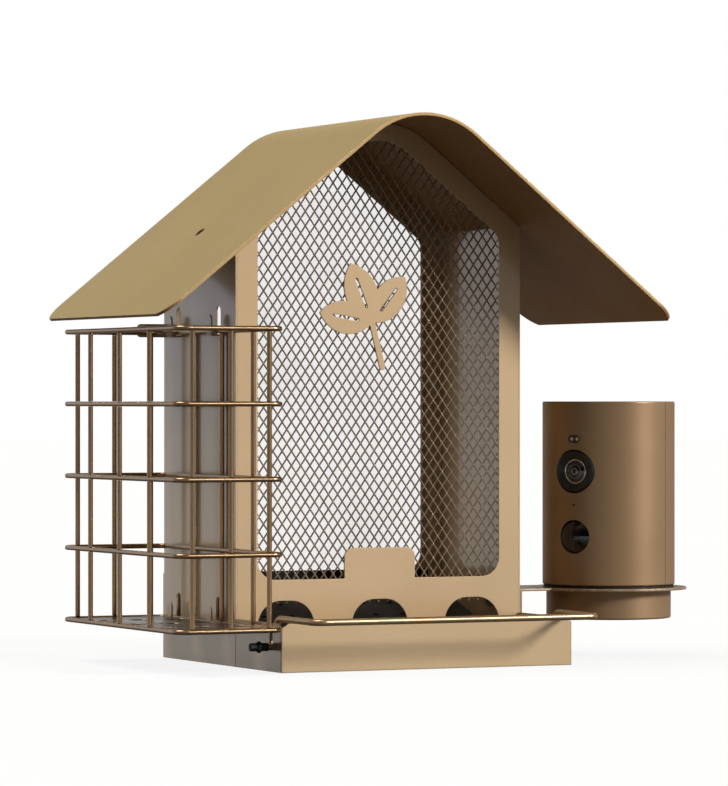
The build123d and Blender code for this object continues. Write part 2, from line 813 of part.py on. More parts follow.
def pan_screw(shank_end, head_foot, shank_radius, head_radius, head_height):
    """A pan-head screw along X, its head on the high side, with a cross recess."""
    shank = rod_x(0, 0, shank_end, head_foot + head_height / 2, shank_radius)
    head = rod_x(0, 0, head_foot, head_foot + head_height, head_radius)
    rim = head.edges().filter_by(GeomType.CIRCLE).sort_by(Axis.X)[-1]
    head = fillet(rim, head_height / 2)
    low = head_foot + head_height - cross_depth
    high = head_foot + head_height + cut_overrun
    half = cross_width / 2
    arm = cross_length / 2
    head = head - block(low, high, -arm, arm, -half, half) - block(low, high, -half, half, -arm, arm)
    return head + shank


shelf_screws = []
shelf_nuts = []
nut_back = panel_half - shelf_nut_length
for y in shelf_screw_ys:
    screw = pan_screw(
        nut_back - screw_end_length,
        house_half + shelf_sheet,
        shelf_screw_radius,
        screw_head_radius,
        screw_head_height,
    )
    shelf_screws.append(Pos(0, y, shelf_screw_z) * screw)
    nut_plane = Plane(origin=(nut_back, y, shelf_screw_z), z_dir=(1, 0, 0))
    nut_face = RegularPolygon(shelf_nut_radius, 6) - Circle(shelf_screw_radius + running_gap)
    shelf_nuts.append(extrude(nut_plane * nut_face, amount=shelf_nut_length))
save(Compound(shelf_screws), "shelf_screws")
save(Compound(shelf_nuts), "shelf_nuts")

# Camera base: a cup that hangs in the shelf's hole, a rubber washer on the shelf, a swivel screw
washer_height = 0.8
washer_seat = shelf_height + face_gap
washer_top = washer_seat + washer_height
head_bottom = washer_top + seat_gap
cup_top = washer_top - face_gap
cup_bottom = shelf_underside - base_cup_drop
cup_wall = 2.0
cup_edge_radius = 1.0
swivel_boss_radius = 7.0
swivel_radius = 2.5
swivel_head_radius = 5.0
swivel_head_height = 2.4
floor_plate = 2.4
shell_wall = 2.0
swivel_tail = 2.0
swivel_end = head_bottom + floor_plate + swivel_tail


def at_camera(shape):
    """Moves a piece made round the camera's own axis, with its lens towards -Y, to its place."""
    return Pos(camera_x, camera_middle_y, 0) * Rot(0, 0, camera_turn) * shape


def base_cup_solid():
    """A cup with a boss round the swivel screw."""
    cup = rod_z(0, 0, cup_bottom, cup_top, cup_radius)
    rim = cup.edges().filter_by(GeomType.CIRCLE).sort_by(Axis.Z)[0]
    cup = fillet(rim, cup_edge_radius)
    cup = cup - rod_z(0, 0, cup_bottom + cup_wall, cup_top + cut_overrun, cup_radius - cup_wall)
    cup = cup + rod_z(0, 0, cup_bottom, cup_top, swivel_boss_radius)
    sink = cup_bottom + swivel_head_height + face_gap
    cup = cup - rod_z(0, 0, cup_bottom - cut_overrun, sink, swivel_head_radius + seat_gap)
    return cup - rod_z(0, 0, cup_bottom, cup_top + cut_overrun, swivel_radius + running_gap)


save(at_camera(base_cup_solid()), "camera_base_cup")
washer = rod_z(0, 0, washer_seat, washer_top, camera_radius - loose_gap)
washer = washer - rod_z(0, 0, 0, camera_top, cup_radius + running_gap)
save(at_camera(washer), "shelf_washer")
swivel_seat = cup_bottom + swivel_head_height
swivel = rod_z(0, 0, swivel_seat, swivel_end, swivel_radius)
swivel = swivel + rod_z(0, 0, cup_bottom, swivel_seat, swivel_head_radius)
slot_half = cross_width / 2
slot_low = cup_bottom - cut_overrun
slot_high = cup_bottom + cross_depth
swivel = swivel - block(-swivel_radius, swivel_radius, -slot_half, slot_half, slot_low, slot_high)
save(at_camera(swivel), "swivel_screw")

# Camera head: front and rear half shells, floor, top cap and the seal between the shells
shell_edge_radius = 0.8
cap_sheet = 2.0
cap_recess = 0.5
cap_radius = camera_radius - shell_wall - face_gap
shell_gap = 0.3
seal_depth = 1.0
lens_drop = 34.6
lens_to_dome = 32.3
lens_to_microphone = 16.7
lens_to_light = 16.0
button_drop = 18.9
lens_height = camera_top - lens_drop
dome_height = lens_height - lens_to_dome
microphone_height = lens_height - lens_to_microphone
light_window_height = lens_height + lens_to_light
button_height = camera_top - button_drop
lens_bezel_radius = 10.7
dome_radius = 8.2
light_window_length = 6.4
light_window_width = 3.6
microphone_hole = 0.6
button_radius = 4.5
port_height = 56.0
port_width = 16.0
port_tall = 9.0
port_thickness = 2.0
port_recess = 0.4
port_hinge_radius = 0.6
port_corner_radius = 2.0
speaker_height = 82.0
speaker_radius = 10.0
speaker_hole = 0.7
speaker_ring_radius = 4.0
speaker_ring_count = 8
piece_gap = 0.15
floor_screw_radius = 1.2
floor_screw_head = 2.2
floor_screw_head_height = 1.4
boss_edge = 0.6
boss_overlap = 0.5
boss_height = 6.0
boss_angles = [50.0, 130.0, 270.0]
boss_ring_radius = cap_radius - floor_screw_head - piece_gap - boss_edge
boss_radius = camera_radius - shell_wall - boss_ring_radius + boss_overlap
floor_top = head_bottom + floor_plate
boss_foot = floor_top + face_gap


def boss_place(angle):
    """Where a screw stands on the floor's ring."""
    turn = math.radians(angle)
    return boss_ring_radius * math.cos(turn), boss_ring_radius * math.sin(turn)


def screw_boss(angle):
    """A bored boss on a shell's inner wall, just above the floor."""
    x, y = boss_place(angle)
    boss = rod_z(x, y, boss_foot, boss_foot + boss_height, boss_radius)
    return boss - rod_z(x, y, 0, boss_foot + boss_height + cut_overrun, floor_screw_radius)


def shell_tube():
    """The whole outer tube, rounded at its upper edge."""
    tube = rod_z(0, 0, head_bottom, camera_top, camera_radius)
    rims = tube.edges().filter_by(GeomType.CIRCLE).sort_by(Axis.Z)
    tube = fillet([rims[0], rims[-1]], shell_edge_radius)
    return tube - rod_z(0, 0, head_bottom - cut_overrun, camera_top + cut_overrun, camera_radius - shell_wall)


def front_opening(height, radius):
    """A round cut through the front shell."""
    return rod_y(0, height, -camera_radius - cut_overrun, -camera_radius / 2, radius)


def front_shell_solid():
    """Half tube with a screw boss and the lens, dome, light and microphone openings."""
    half = block(-camera_radius, camera_radius, -camera_radius, -shell_gap / 2, head_bottom, camera_top)
    shell = (shell_tube() & half) + screw_boss(boss_angles[2])
    shell = shell - front_opening(lens_height, lens_bezel_radius + piece_gap)
    shell = shell - front_opening(dome_height, dome_radius + piece_gap)
    shell = shell - front_opening(microphone_height, microphone_hole)
    window = SlotOverall(light_window_length + 2 * piece_gap, light_window_width + 2 * piece_gap)
    tool = upright(Pos(0, light_window_height) * window, -camera_radius - cut_overrun, camera_radius / 2)
    return shell - tool


def port_pocket(grow):
    """The port cover's outline, seen from behind."""
    return Pos(0, port_height) * RectangleRounded(
        port_width + 2 * grow, port_tall + 2 * grow, port_corner_radius + grow
    )


def rear_shell_solid():
    """Half tube with two screw bosses, the button hole, the port opening and the speaker's grille."""
    half = block(-camera_radius, camera_radius, shell_gap / 2, camera_radius, head_bottom, camera_top)
    shell = (shell_tube() & half) + screw_boss(boss_angles[0]) + screw_boss(boss_angles[1])
    cut_end = camera_radius + cut_overrun
    shell = shell - rod_y(0, button_height, camera_radius / 2, cut_end, button_radius + piece_gap)
    opening = upright(port_pocket(piece_gap), camera_radius / 2, camera_radius / 2 + cut_overrun)
    reach = port_hinge_radius + piece_gap
    half_width = port_width / 2 + piece_gap
    hinge_y = camera_radius - port_recess - port_hinge_radius
    hinge_z = port_height - port_tall / 2
    notch_top = hinge_z + piece_gap
    notch = block(-half_width, half_width, hinge_y - reach, cut_end, hinge_z - reach, notch_top)
    shell = shell - opening - notch
    for index in range(speaker_ring_count):
        angle = 2 * math.pi * index / speaker_ring_count
        x = speaker_ring_radius * math.cos(angle)
        z = speaker_height + speaker_ring_radius * math.sin(angle)
        shell = shell - rod_y(x, z, camera_radius / 2, cut_end, speaker_hole)
    return shell - rod_y(0, speaker_height, camera_radius / 2, cut_end, speaker_hole)


save(at_camera(front_shell_solid()), "camera_front_shell")
save(at_camera(rear_shell_solid()), "camera_rear_shell")

cap_top = camera_top - cap_recess
top_cap = rod_z(0, 0, cap_top - cap_sheet, cap_top, cap_radius)
save(at_camera(top_cap), "camera_top_cap")

shell_seals = []
seal_outer = camera_radius - seal_depth / 2
seal_inner = camera_radius - shell_wall
seal_top = camera_top - shell_edge_radius
for side in (-1, 1):
    edges = sorted((side * seal_inner, side * seal_outer))
    half = shell_gap / 2 - running_gap / 2
    shell_seals.append(block(edges[0], edges[1], -half, half, head_bottom + shell_edge_radius, seal_top))
save(at_camera(Compound(shell_seals)), "shell_seals")

# Camera floor: a disc inside the shells, with the swivel's hole, and its screws into the shells' bosses
floor_disc = rod_z(0, 0, head_bottom, floor_top, cap_radius)
drill_low = head_bottom - cut_overrun
drill_high = floor_top + cut_overrun
floor_disc = floor_disc - rod_z(0, 0, drill_low, drill_high, swivel_radius + running_gap)
screw_foot = head_bottom + face_gap
screw_seat = screw_foot + floor_screw_head_height
screw_end = boss_foot + boss_height - face_gap
camera_screws = []
for angle in boss_angles:
    x, y = boss_place(angle)
    hole = rod_z(x, y, drill_low, drill_high, floor_screw_radius + piece_gap)
    counterbore = rod_z(x, y, drill_low, screw_seat, floor_screw_head + piece_gap)
    floor_disc = floor_disc - hole - counterbore
    shank = rod_z(x, y, screw_seat, screw_end, floor_screw_radius - running_gap)
    camera_screws.append(rod_z(x, y, screw_foot, screw_seat, floor_screw_head) + shank)
save(at_camera(floor_disc), "camera_floor")
save(at_camera(Compound(camera_screws)), "camera_screws")

# Lens: a funnel-shaped bezel, a glass disc, the stepped barrel and the sensor board
bezel_recess = 0.5
bezel_face_y = -camera_radius + bezel_recess
bezel_length = 6.0
bezel_bore_radius = 6.4
bezel_lip = 1.2
lens_glass_radius = 7.6
lens_glass_thickness = 1.2
barrel_radius = 6.2
barrel_length = 12.0
barrel_steps_shares = [0.82, 0.58, 0.3]
barrel_step_depth = 0.7
sensor_board_size = 21.0
board_sheet = 1.4


def lens_bezel_solid():
    """A ring whose mouth narrows like a funnel towards the glass."""
    back = bezel_face_y + bezel_length
    profile = Polyline(
        (bezel_bore_radius, bezel_face_y + bezel_lip),
        (lens_bezel_radius - bezel_lip, bezel_face_y),
        (lens_bezel_radius, bezel_face_y + bezel_lip / 2),
        (lens_bezel_radius, back),
        (lens_glass_radius + piece_gap, back),
        (lens_glass_radius + piece_gap, bezel_face_y + 2 * bezel_lip),
        (bezel_bore_radius, bezel_face_y + 2 * bezel_lip),
        close=True,
    )
    return Pos(0, 0, lens_height) * revolve(make_face(profile), axis=Axis.Y)


glass_front = bezel_face_y + 2 * bezel_lip + face_gap
glass_back = glass_front + lens_glass_thickness
barrel_front = glass_back + face_gap
barrel_back = barrel_front + barrel_length
save(at_camera(lens_bezel_solid()), "lens_bezel")
save(at_camera(rod_y(0, lens_height, glass_front, glass_back, lens_glass_radius)), "lens_glass")
lens_barrel = rod_y(0, lens_height, barrel_front, barrel_back, barrel_radius)
for index, share in enumerate(barrel_steps_shares):
    depth = (index + 1) * barrel_step_depth
    lens_barrel = lens_barrel - rod_y(
        0, lens_height, barrel_front - cut_overrun, barrel_front + depth, barrel_radius * share
    )
save(at_camera(lens_barrel), "lens_barrel")
sensor_back = barrel_back + board_sheet
sensor_half = sensor_board_size / 2
sensor_board = block(
    -sensor_half, sensor_half, barrel_back, sensor_back, lens_height - sensor_half, lens_height + sensor_half
)
save(at_camera(sensor_board), "image_sensor_board")

# Main board and the chips on it
main_board_half = 22.0
main_board_bottom = 44.0
main_board_top = 120.0
main_board_front = sensor_back + face_gap
main_board_back = main_board_front + board_sheet
chip_size = 12.0
chip_height = 1.6
chip_places_shares = [(-0.35, 0.32), (0.3, 0.4), (-0.1, 0.72)]


def main_board_solid():
    """A board with three chips on its back face."""
    half = main_board_half
    board = block(-half, half, main_board_front, main_board_back, main_board_bottom, main_board_top)
    tall = main_board_top - main_board_bottom
    for share_x, share_z in chip_places_shares:
        x = share_x * main_board_half
        z = main_board_bottom + share_z * tall
        half = chip_size / 2
        chip_back = main_board_back + chip_height
        board = board + block(x - half, x + half, main_board_back, chip_back, z - half, z + half)
    return board


save(at_camera(main_board_solid()), "main_board")

# Battery: two round cells held upright in a moulded holder behind the main board
cell_radius = 9.1
cell_length = 65.0
cell_gap = 0.6
cell_tip_radius = 3.0
cell_tip_height = 1.2
holder_wall = 1.6
holder_floor = swivel_end + face_gap
cell_bottom = holder_floor + holder_wall
cell_middle_x = cell_radius + cell_gap / 2
holder_front = main_board_back + chip_height + seat_gap
cell_middle_y = holder_front + holder_wall + cell_radius + face_gap
cells = []
cell_top = cell_bottom + cell_length
for side in (-1, 1):
    x = side * cell_middle_x
    cell = rod_z(x, cell_middle_y, cell_bottom + face_gap, cell_top, cell_radius)
    cell = cell + rod_z(x, cell_middle_y, cell_top, cell_top + cell_tip_height, cell_tip_radius)
    cells.append(cell)
save(at_camera(Compound(cells)), "battery_cells")
holder_half = 2 * cell_radius + cell_gap
holder_back = holder_front + holder_wall
holder = block(-holder_half, holder_half, holder_front, holder_back, holder_floor, cell_top)
holder_foot = holder_half - holder_wall
holder = holder + block(
    -holder_foot, holder_foot, holder_front, cell_middle_y + cell_radius / 2, holder_floor, cell_bottom
)
save(at_camera(holder), "battery_holder")

# Motion sensor: a dome lens in the shell and the sensor can behind it
dome_bulge = 1.6
dome_flange = 1.4
dome_wall = 0.9
dome_recess = 1.4
dome_rim_y = -camera_radius + dome_recess
can_radius = 4.6
can_length = 4.2


def dome_solid():
    """A shallow dome on a short collar, hollow inside."""
    sphere = (dome_radius**2 + dome_bulge**2) / (2 * dome_bulge)
    sphere_y = dome_rim_y + sphere - dome_bulge
    inner = dome_radius - dome_wall
    inner_sphere = sphere - dome_wall
    back = dome_rim_y + dome_flange

    def on_sphere(x, radius):
        return (x, sphere_y - math.sqrt(radius**2 - x**2))

    apex = on_sphere(0, sphere)
    inner_apex = on_sphere(0, inner_sphere)
    inner_rim = on_sphere(inner, inner_sphere)
    outline = [
        ThreePointArc(apex, on_sphere(dome_radius / 2, sphere), (dome_radius, dome_rim_y)),
        Line((dome_radius, dome_rim_y), (dome_radius, back)),
        Line((dome_radius, back), (inner, back)),
        Line((inner, back), inner_rim),
        ThreePointArc(inner_rim, on_sphere(inner / 2, inner_sphere), inner_apex),
        Line(inner_apex, apex),
    ]
    return Pos(0, 0, dome_height) * revolve(make_face(Wire(outline)), axis=Axis.Y)


save(at_camera(dome_solid()), "motion_dome")
can_back = main_board_front - face_gap
motion_can = rod_y(0, dome_height, can_back - can_length, can_back, can_radius)
can_brim = rod_y(0, dome_height, can_back - board_sheet / 2, can_back, can_radius + board_sheet / 2)
save(at_camera(motion_can + can_brim), "motion_sensor")

# Light window with two infrared diodes behind it
light_recess = 0.25
light_front = -camera_radius + light_recess
light_depth = 1.5
diode_radius = 1.1
diode_spacing = 3.0
diode_length = 2.2
diode_dome_share = 0.8
window_outline = Pos(0, light_window_height) * SlotOverall(light_window_length, light_window_width)
light_window = upright(window_outline, light_front, light_depth)
diodes = []
light_cut_front = light_front - cut_overrun
light_cut_back = light_front + light_depth + cut_overrun
for side in (-1, 1):
    x = side * diode_spacing / 2
    light_window = light_window - rod_y(
        x, light_window_height, light_cut_front, light_cut_back, diode_radius + running_gap
    )
    diode = rod_y(x, light_window_height, light_front, light_front + diode_length, diode_radius)
    rim = diode.edges().filter_by(GeomType.CIRCLE).sort_by(Axis.Y)[0]
    diodes.append(fillet(rim, diode_dome_share * diode_radius))
save(at_camera(light_window), "light_window")
save(at_camera(Compound(diodes)), "infrared_diodes")

# Small electric pieces inside the shells
microphone_radius = 2.0
microphone_length = 1.6
inner_wall_y = camera_radius - shell_wall
microphone_front = -math.sqrt(inner_wall_y**2 - microphone_radius**2) + face_gap
save(
    at_camera(
        rod_y(0, microphone_height, microphone_front, microphone_front + microphone_length, microphone_radius)
    ),
    "microphone",
)
speaker_thickness = 3.6
speaker_rim_thickness = 2.2
speaker_magnet_radius = 6.0
speaker_face = math.sqrt(inner_wall_y**2 - speaker_radius**2) - face_gap
speaker_back = speaker_face - speaker_thickness
speaker_basket = speaker_face - speaker_rim_thickness
speaker = rod_y(0, speaker_height, speaker_basket, speaker_face, speaker_radius)
speaker = speaker + rod_y(0, speaker_height, speaker_back, speaker_face, speaker_magnet_radius)
save(at_camera(speaker), "speaker")
antenna_length = 20.0
antenna_sheet = 0.5
antenna_width = 6.0
antenna_x = main_board_half + face_gap
antenna_top = main_board_top - antenna_width
antenna = block(
    antenna_x,
    antenna_x + antenna_sheet,
    main_board_front,
    main_board_front + antenna_length,
    antenna_top - antenna_width,
    antenna_top,
)
save(at_camera(antenna), "antenna")

# Charging socket behind its rubber cover, which turns open about its lower edge
socket_width = 9.0
socket_tall = 3.3
socket_length = 6.6
socket_wall = 0.4
cover_face_y = camera_radius - port_recess
cover_inner_y = cover_face_y - port_thickness
socket_back = cover_inner_y - seat_gap
socket_front = socket_back - socket_length
socket_bore_width = socket_width - 2 * socket_wall
socket_bore_tall = socket_tall - 2 * socket_wall
socket_place = Pos(0, port_height)
socket_full = RectangleRounded(socket_width, socket_tall, socket_tall / 2 - running_gap)
socket_bore = RectangleRounded(socket_bore_width, socket_bore_tall, socket_bore_tall / 2 - running_gap)
socket = upright(socket_place * (socket_full - socket_bore), socket_front, socket_length)
socket = socket + upright(socket_place * socket_full, socket_front, socket_wall)
tongue_wide = socket_width / 2
tongue_thick = socket_tall / 5
socket = socket + block(
    -tongue_wide / 2,
    tongue_wide / 2,
    socket_front,
    socket_back - socket_wall,
    port_height - tongue_thick / 2,
    port_height + tongue_thick / 2,
)
save(at_camera(socket), "charging_socket")
port_cover = upright(port_pocket(0), cover_inner_y, port_thickness)
grip_width = port_width / 3
port_cover = port_cover - block(
    -grip_width / 2,
    grip_width / 2,
    cover_face_y - port_thickness / 4,
    cover_face_y + cut_overrun,
    port_height + port_tall / 4,
    port_height + port_tall,
)
bead_half = port_width / 2 - port_corner_radius
bead_y = cover_face_y - port_hinge_radius
bead_z = port_height - port_tall / 2
port_cover = port_cover + rod_x(bead_y, bead_z, -bead_half, bead_half, port_hinge_radius)
save(at_camera(port_cover), "port_cover")

# Power button: a round button with a collar inside the shell
button_proud = 0.9
button_collar = 0.8
button_length = 4.0
button_face_y = camera_radius + button_proud
button_inner_y = button_face_y - button_length
collar_face = math.sqrt(inner_wall_y**2 - (button_radius + button_collar) ** 2) - face_gap
power_button = rod_y(0, button_height, button_inner_y, button_face_y, button_radius)
face_rim = power_button.edges().filter_by(GeomType.CIRCLE).sort_by(Axis.Y)[-1]
power_button = fillet(face_rim, button_proud / 2)
collar_end = min(collar_face, button_inner_y + button_collar)
power_button = power_button + rod_y(
    0, button_height, button_inner_y, collar_end, button_radius + button_collar
)
save(at_camera(power_button), "power_button")
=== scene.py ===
import math

import bmesh
import bpy
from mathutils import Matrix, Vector


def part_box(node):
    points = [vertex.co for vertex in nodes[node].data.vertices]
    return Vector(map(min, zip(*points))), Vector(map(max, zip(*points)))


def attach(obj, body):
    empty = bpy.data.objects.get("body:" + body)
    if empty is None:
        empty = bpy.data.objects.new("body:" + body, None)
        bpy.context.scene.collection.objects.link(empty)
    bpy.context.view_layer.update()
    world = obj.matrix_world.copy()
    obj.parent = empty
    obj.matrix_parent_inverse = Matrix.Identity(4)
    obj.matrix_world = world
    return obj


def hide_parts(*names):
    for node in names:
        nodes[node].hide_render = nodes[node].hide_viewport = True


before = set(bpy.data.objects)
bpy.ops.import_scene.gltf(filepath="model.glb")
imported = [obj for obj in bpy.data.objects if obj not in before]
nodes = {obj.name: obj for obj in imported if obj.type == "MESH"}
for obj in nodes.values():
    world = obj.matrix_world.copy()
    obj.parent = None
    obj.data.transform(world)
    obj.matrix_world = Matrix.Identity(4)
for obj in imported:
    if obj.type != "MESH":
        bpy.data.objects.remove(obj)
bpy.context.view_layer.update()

MM = 0.001

# Camera at the photograph's viewing angle: level, to the left of the front
view_yaw = math.radians(25.35)
camera_place = Vector((-0.9256, -1.9797, 0.1269))
camera_lens = 202.5
sensor_width = 36.0
horizon_shift = 0.0107
nearest_seen = 0.05
farthest_seen = 60.0


def make_camera():
    data = bpy.data.cameras.new("camera")
    data.lens = camera_lens
    data.sensor_width = sensor_width
    data.shift_y = horizon_shift
    data.clip_start = nearest_seen
    data.clip_end = farthest_seen
    camera = bpy.data.objects.new("camera", data)
    camera.location = camera_place
    camera.rotation_euler = (math.radians(90.0), 0.0, -view_yaw)
    bpy.context.scene.collection.objects.link(camera)
    bpy.context.scene.camera = camera


make_camera()


# Node helpers
bevel_samples = 4


class Graph:
    """A material's node tree, with short calls for its usual nodes."""

    def __init__(self, name):
        self.material = bpy.data.materials.new(name)
        self.material.use_nodes = True
        self.tree = self.material.node_tree
        self.tree.nodes.clear()
        self.output = self.node("ShaderNodeOutputMaterial")
        self.shader = self.node("ShaderNodeBsdfPrincipled")
        self.link(self.shader.outputs["BSDF"], self.output.inputs["Surface"])
        self.place = self.node("ShaderNodeTexCoord").outputs["Object"]

    def node(self, kind, **settings):
        made = self.tree.nodes.new(kind)
        for key, value in settings.items():
            setattr(made, key, value)
        return made

    def link(self, start, end):
        self.tree.links.new(start, end)

    def noise(self, scale, detail=2.0, stretch=(1.0, 1.0, 1.0)):
        mapping = self.node("ShaderNodeMapping")
        mapping.inputs["Scale"].default_value = stretch
        self.link(self.place, mapping.inputs["Vector"])
        made = self.node("ShaderNodeTexNoise")
        made.inputs["Scale"].default_value = scale
        made.inputs["Detail"].default_value = detail
        self.link(mapping.outputs["Vector"], made.inputs["Vector"])
        return made.outputs["Fac"]

    def spread(self, value, low, high, start=0.0, end=1.0):
        made = self.node("ShaderNodeMapRange")
        made.inputs["From Min"].default_value = start
        made.inputs["From Max"].default_value = end
        made.inputs["To Min"].default_value = low
        made.inputs["To Max"].default_value = high
        self.link(value, made.inputs["Value"])
        return made.outputs["Result"]

    def mix(self, factor, first, second, blend="MIX"):
        made = self.node("ShaderNodeMix", data_type="RGBA", blend_type=blend)
        sockets = {"Factor": factor, "A": first, "B": second}
        for socket in made.inputs:
            if socket.name not in sockets or not socket.enabled:
                continue
            value = sockets[socket.name]
            if hasattr(value, "links"):
                self.link(value, socket)
            elif socket.type == "RGBA":
                socket.default_value = (*value, 1.0)
            else:
                socket.default_value = value
        return [out for out in made.outputs if out.type == "RGBA" and out.enabled][0]

    def bump(self, height, distance, strength=1.0, normal=None):
        made = self.node("ShaderNodeBump")
        made.inputs["Strength"].default_value = strength
        made.inputs["Distance"].default_value = distance
        self.link(height, made.inputs["Height"])
        if normal is not None:
            self.link(normal, made.inputs["Normal"])
        return made.outputs["Normal"]

    def soft_edge(self, radius):
        made = self.node("ShaderNodeBevel", samples=bevel_samples)
        made.inputs["Radius"].default_value = radius
        return made.outputs["Normal"]

    def set(self, **values):
        for name, value in values.items():
            self.shader.inputs[name.replace("_", " ")].default_value = value


# Scales of the coats' textures, in waves per metre, and depths of their relief in metres
cloud_scale = 14.0
sheen_scale = 40.0
edge_patch_scale = 260.0
peel_scale = 900.0
fleck_scale = 5200.0
peel_depth = 0.00002
fleck_depth = 0.000012
fleck_amount = 0.32
sheen_swing = 0.035
plain_light = (1.0, 1.0, 1.0)


def coated_metal(
    name,
    tone,
    shade,
    metallic,
    roughness,
    edge=0.00035,
    grain=1.0,
    lacquer=0.0,
    painted_edge_tone=None,
    grazing=plain_light,
    underside_painted_shade=None,
):
    """Satin metallic powder coat: slow cloudiness, fine fleck and soft sheet edges that catch the light.

    Edges take an edge colour in patches: a painted highlight or a painted shade along the edges, by default
    a lighter tone for both wear and painted highlight. Shine at a low angle is tinted by grazing, and faces
    that look down get a painted shade multiplied in.
    """
    graph = Graph(name)
    cloud = graph.noise(cloud_scale, 3.0)
    fleck = graph.noise(fleck_scale, 1.0)
    orange_peel = graph.noise(peel_scale, 2.0)
    base = graph.mix(graph.spread(cloud, 0.0, 1.0, 0.35, 0.65), tone, shade)
    light_fleck = tuple(min(1.0, channel * 1.35 + 0.02) for channel in tone)
    edge_wear_and_light_tone = painted_edge_tone or light_fleck
    base = graph.mix(graph.spread(fleck, 0.0, fleck_amount * grain, 0.48, 0.8), base, light_fleck)
    rounded = graph.soft_edge(edge)
    geometry = graph.node("ShaderNodeNewGeometry")
    agree = graph.node("ShaderNodeVectorMath", operation="DOT_PRODUCT")
    graph.link(rounded, agree.inputs[0])
    graph.link(geometry.outputs["Normal"], agree.inputs[1])
    # Edge mask: where the rounded normal leaves the true one, the edge colour is painted in as painted
    # highlight or painted shade (the default lighter tone is partly wear)
    edge_wear_and_light_mask = graph.spread(agree.outputs["Value"], 0.85, 0.0, 0.86, 0.995)
    patches = graph.spread(graph.noise(edge_patch_scale, 4.0), 0.35, 1.0, 0.4, 0.62)
    base = graph.mix(edge_wear_and_light_mask, base, graph.mix(patches, base, edge_wear_and_light_tone))
    # Painted shade: faces that look down are darkened and tinted by multiplying in the given colour
    if underside_painted_shade is not None:
        facing = graph.node("ShaderNodeSeparateXYZ")
        graph.link(geometry.outputs["Normal"], facing.inputs[0])
        underside_shade_mask = graph.spread(facing.outputs["Z"], 1.0, 0.0, -0.1, 0.1)
        base = graph.mix(underside_shade_mask, base, underside_painted_shade, "MULTIPLY")
    graph.link(base, graph.shader.inputs["Base Color"])
    sheen = graph.noise(sheen_scale, 4.0)
    rough = graph.spread(sheen, roughness - sheen_swing, roughness + sheen_swing, 0.3, 0.7)
    graph.link(rough, graph.shader.inputs["Roughness"])
    graph.set(Metallic=metallic, Specular_IOR_Level=0.25, Specular_Tint=(*grazing, 1.0))
    graph.set(Coat_Weight=lacquer, Coat_Roughness=0.14, Coat_IOR=1.65)
    normal = graph.bump(orange_peel, peel_depth, 0.35 * grain, rounded)
    normal = graph.bump(fleck, fleck_depth, 0.3 * grain, normal)
    graph.link(normal, graph.shader.inputs["Normal"])
    return graph.material


def moulded(name, tone, roughness, texture=700.0, depth=0.00003, gloss=0.5, edge=0.0002):
    """Moulded plastic or rubber with a fine texture and a faint change of sheen."""
    graph = Graph(name)
    shade = tuple(channel * 0.72 for channel in tone)
    mottled = graph.mix(graph.spread(graph.noise(60.0, 3.0), 0.0, 1.0, 0.35, 0.7), tone, shade)
    graph.link(mottled, graph.shader.inputs["Base Color"])
    rough = graph.spread(graph.noise(120.0, 3.0), roughness - 0.05, roughness + 0.05, 0.3, 0.7)
    graph.link(rough, graph.shader.inputs["Roughness"])
    graph.shader.inputs["Specular IOR Level"].default_value = gloss
    normal = graph.bump(graph.noise(texture, 2.0), depth, 0.5, graph.soft_edge(edge))
    graph.link(normal, graph.shader.inputs["Normal"])
    return graph.material


def turned_metal(name, tone, roughness):
    """Plain metal with faint lines from machining."""
    graph = Graph(name)
    shade = tuple(channel * 0.7 for channel in tone)
    lines = graph.noise(2500.0, 2.0, (1.0, 1.0, 0.06))
    lined = graph.mix(graph.spread(lines, 0.0, 1.0, 0.3, 0.7), tone, shade)
    graph.link(lined, graph.shader.inputs["Base Color"])
    rough = graph.spread(lines, roughness - 0.08, roughness + 0.08, 0.3, 0.7)
    graph.link(rough, graph.shader.inputs["Roughness"])
    graph.set(Metallic=1.0)
    graph.link(graph.bump(lines, 0.00001, 0.4, graph.soft_edge(0.00015)), graph.shader.inputs["Normal"])
    return graph.material


def clear_sheet(name, tone, alpha, roughness):
    """Clear plastic sheet with a faint, uneven haze."""
    graph = Graph(name)
    haze = graph.noise(25.0, 4.0)
    graph.link(graph.spread(haze, alpha, alpha + 0.06, 0.35, 0.75), graph.shader.inputs["Alpha"])
    graph.link(graph.mix(haze, tone, (1.0, 0.95, 0.9)), graph.shader.inputs["Base Color"])
    graph.link(graph.spread(haze, roughness, roughness + 0.06, 0.3, 0.7), graph.shader.inputs["Roughness"])
    return graph.material


def coated_lens(name, tone, tint):
    """Dark lens glass with a coloured anti-glare sheen."""
    graph = Graph(name)
    facing = graph.node("ShaderNodeLayerWeight")
    facing.inputs["Blend"].default_value = 0.35
    tinted = graph.mix(facing.outputs["Facing"], tone, tint)
    graph.link(tinted, graph.shader.inputs["Base Color"])
    graph.link(graph.spread(graph.noise(300.0), 0.03, 0.07, 0.3, 0.7), graph.shader.inputs["Roughness"])
    graph.shader.inputs["Coat Weight"].default_value = 1.0
    graph.shader.inputs["Coat Roughness"].default_value = 0.02
    graph.shader.inputs["Alpha"].default_value = 0.55
    return graph.material


def circuit_board(name):
    """Green solder mask with a grid of paler runs."""
    graph = Graph(name)
    runs = graph.node("ShaderNodeTexBrick")
    runs.inputs["Scale"].default_value = 420.0
    runs.inputs["Mortar Size"].default_value = 0.05
    runs.inputs["Color1"].default_value = (0.012, 0.11, 0.045, 1.0)
    runs.inputs["Color2"].default_value = (0.016, 0.14, 0.06, 1.0)
    runs.inputs["Mortar"].default_value = (0.05, 0.24, 0.1, 1.0)
    graph.link(graph.place, runs.inputs["Vector"])
    graph.link(runs.outputs["Color"], graph.shader.inputs["Base Color"])
    graph.link(graph.spread(graph.noise(200.0), 0.3, 0.45, 0.3, 0.7), graph.shader.inputs["Roughness"])
    graph.link(graph.bump(runs.outputs["Fac"], 0.00005, 0.4), graph.shader.inputs["Normal"])
    return graph.material


def paint(material, *names):
    for name in names:
        slots = nodes[name].data.materials
        slots.clear()
        slots.append(material)


